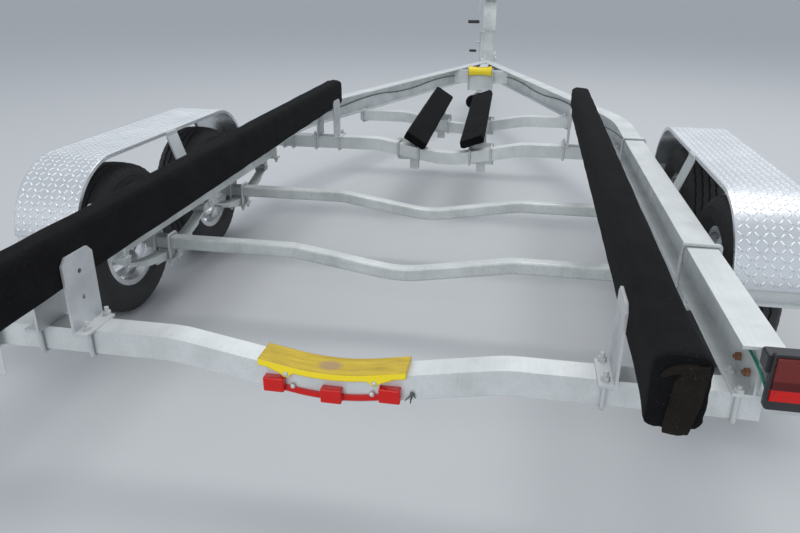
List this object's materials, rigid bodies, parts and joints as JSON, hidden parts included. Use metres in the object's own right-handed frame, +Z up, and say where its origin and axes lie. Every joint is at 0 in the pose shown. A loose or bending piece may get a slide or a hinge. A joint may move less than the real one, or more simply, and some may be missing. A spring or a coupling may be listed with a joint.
{
  "type": "boat trailer",
  "caption": "Tandem-axle boat trailer with bent beams meeting at the tongue, carpeted bunk boards, tread plate fenders, rollers, winch post, ball coupler and swing-up jack.",
  "frame": {"origin": "on the ground below the middle of the overall length and width", "axes": "+X to the trailer's right, +Y forward to the coupler, +Z up"},
  "size_m": [2.59, 7.301, 1.245],
  "materials": {
    "frame_aluminium": "mill finish extrusion, weathered",
    "bracket_aluminium": "mill finish plate",
    "tread_plate": "raised diamond pattern, bright",
    "galvanised_steel": "hot-dip zinc, dull",
    "bunk_carpet": "black marine carpet",
    "tyre_rubber": "weathered rubber",
    "wheel_alloy": "polished cast alloy",
    "urethane_yellow": "translucent amber urethane",
    "roller_black": "moulded rubber",
    "lens_red": "clear red lens",
    "rusty_bolt": "rusted zinc",
    "wire_black": "black cable jacket",
    "lamp_black": "moulded, satin"
  },
  "bodies": {
    "chassis": {"rail_left": "frame_aluminium", "rail_right": "frame_aluminium", "crossmember_rear": "frame_aluminium", "crossmember_front": "frame_aluminium", "crossmember_bow": "frame_aluminium", "crossmember_nose": "frame_aluminium", "tongue": "frame_aluminium", "coupler": "galvanised_steel", "winch_post": "galvanised_steel", "winch": "galvanised_steel", "bow_stop": "galvanised_steel", "bunk_left": "bunk_carpet", "bunk_right": "bunk_carpet", "bunk_brackets": "bracket_aluminium", "short_bunk_left": "bunk_carpet", "short_bunk_right": "bunk_carpet", "short_posts": "galvanised_steel", "axle_rear": "galvanised_steel", "axle_front": "galvanised_steel", "springs": "galvanised_steel", "equalisers": "galvanised_steel", "hangers": "galvanised_steel", "frame_bolts": "galvanised_steel", "fender_left": "tread_plate", "fender_right": "tread_plate", "fender_braces": "frame_aluminium", "lamp_housings": "lamp_black", "lamp_brackets": "bracket_aluminium", "lamp_bolts": "rusty_bolt", "lamp_lenses": "lens_red", "keel_pad": "urethane_yellow", "light_bar": "lens_red", "number_plate": "bracket_aluminium", "jack_mount": "galvanised_steel", "wire_left": "wire_black", "wire_right": "wire_black"},
    "wheel_rear_left": {"tyre_rear_left": "tyre_rubber", "rim_rear_left": "wheel_alloy"},
    "wheel_rear_right": {"tyre_rear_right": "tyre_rubber", "rim_rear_right": "wheel_alloy"},
    "wheel_front_left": {"tyre_front_left": "tyre_rubber", "rim_front_left": "wheel_alloy"},
    "wheel_front_right": {"tyre_front_right": "tyre_rubber", "rim_front_right": "wheel_alloy"},
    "keel_roller": {"keel_roller": "urethane_yellow"},
    "bow_roller": {"bow_roller": "roller_black"},
    "jack_tube": {"jack_tube": "galvanised_steel"},
    "jack_leg": {"jack_leg": "galvanised_steel"},
    "jack_fork": {"jack_fork": "galvanised_steel"},
    "jack_wheel": {"jack_wheel": "roller_black"}
  },
  "joints": [
    {"name": "wheel_rear_left_spin", "type": "hinge", "parent": "chassis", "child": "wheel_rear_left", "pos_m": [-1.174, -2.34453, 0.305], "axis": [1, 0, 0], "continuous": true},
    {"name": "wheel_rear_right_spin", "type": "hinge", "parent": "chassis", "child": "wheel_rear_right", "pos_m": [1.174, -2.34453, 0.305], "axis": [1, 0, 0], "continuous": true},
    {"name": "wheel_front_left_spin", "type": "hinge", "parent": "chassis", "child": "wheel_front_left", "pos_m": [-1.174, -1.59453, 0.305], "axis": [1, 0, 0], "continuous": true},
    {"name": "wheel_front_right_spin", "type": "hinge", "parent": "chassis", "child": "wheel_front_right", "pos_m": [1.174, -1.59453, 0.305], "axis": [1, 0, 0], "continuous": true},
    {"name": "keel_roller_spin", "type": "hinge", "parent": "chassis", "child": "keel_roller", "pos_m": [0, 1.63553, 0.549], "axis": [1, 0, 0], "continuous": true},
    {"name": "bow_roller_spin", "type": "hinge", "parent": "chassis", "child": "bow_roller", "pos_m": [0, 2.47053, 1.185], "axis": [1, 0, 0], "continuous": true},
    {"name": "jack_swing", "type": "hinge", "parent": "chassis", "child": "jack_tube", "pos_m": [-0.095, 3.08053, 0.492], "axis": [-1, 0, 0], "range_deg": [0, 90]},
    {"name": "jack_slide", "type": "slide", "parent": "jack_tube", "child": "jack_leg", "axis": [0, 0, 1], "range_m": [-0.12, 0.05]},
    {"name": "jack_swivel", "type": "hinge", "parent": "jack_leg", "child": "jack_fork", "pos_m": [-0.095, 3.08053, 0.178], "axis": [0, 0, 1], "continuous": true},
    {"name": "jack_wheel_spin", "type": "hinge", "parent": "jack_fork", "child": "jack_wheel", "pos_m": [-0.095, 3.05253, 0.08], "axis": [1, 0, 0], "continuous": true}
  ]
}
